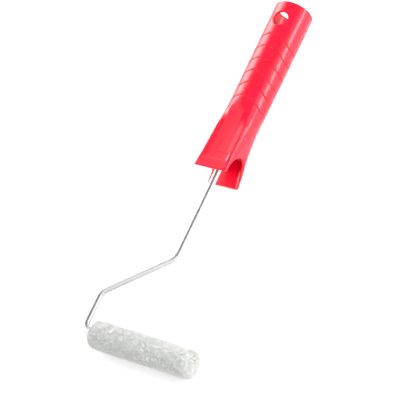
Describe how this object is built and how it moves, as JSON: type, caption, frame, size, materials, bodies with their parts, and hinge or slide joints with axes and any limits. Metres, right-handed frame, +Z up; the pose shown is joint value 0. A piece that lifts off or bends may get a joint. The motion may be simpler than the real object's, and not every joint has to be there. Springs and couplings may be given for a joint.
{
  "type": "paint roller",
  "caption": "Mini paint roller: a fleece cover spins on a cranked steel wire frame held in a hollow moulded handle with ring grooves and a hang hole.",
  "frame": {"origin": "centre of the footprint, on the surface that the tool lies on", "axes": "+Y from the roller along the handle to the hang hole, +X along the roller from the wire's elbow to the closed end, +Z up with the tool lying on its cover and on the handle's back lip"},
  "size_m": [0.1146, 0.3486, 0.0435],
  "materials": {
    "handle_plastic": "glossy moulded red plastic",
    "bright_wire": "bright zinc-plated drawn steel wire",
    "spindle_plastic": "natural white plastic, matte",
    "core_plastic": "white plastic, matte",
    "fleece": "short white polyester pile"
  },
  "bodies": {
    "frame": {"handle": "handle_plastic", "wire_frame": "bright_wire", "stop_collar": "bright_wire"},
    "spindle": {"spindle_sleeve": "spindle_plastic"},
    "cover": {"entry_bush": "core_plastic", "tip_bush": "core_plastic", "core_tube": "core_plastic", "end_plug": "core_plastic", "fleece_sleeve": "fleece", "fleece_end": "fleece"}
  },
  "joints": [
    {"name": "cover_pull_off", "type": "slide", "parent": "frame", "child": "spindle", "axis": [1, 0, 0], "range_m": [0, 0.095]},
    {"name": "roller_spin", "type": "hinge", "parent": "spindle", "child": "cover", "pos_m": [-0.00205, -0.16196, 0.0123], "axis": [1, 0, 0], "continuous": true}
  ]
}
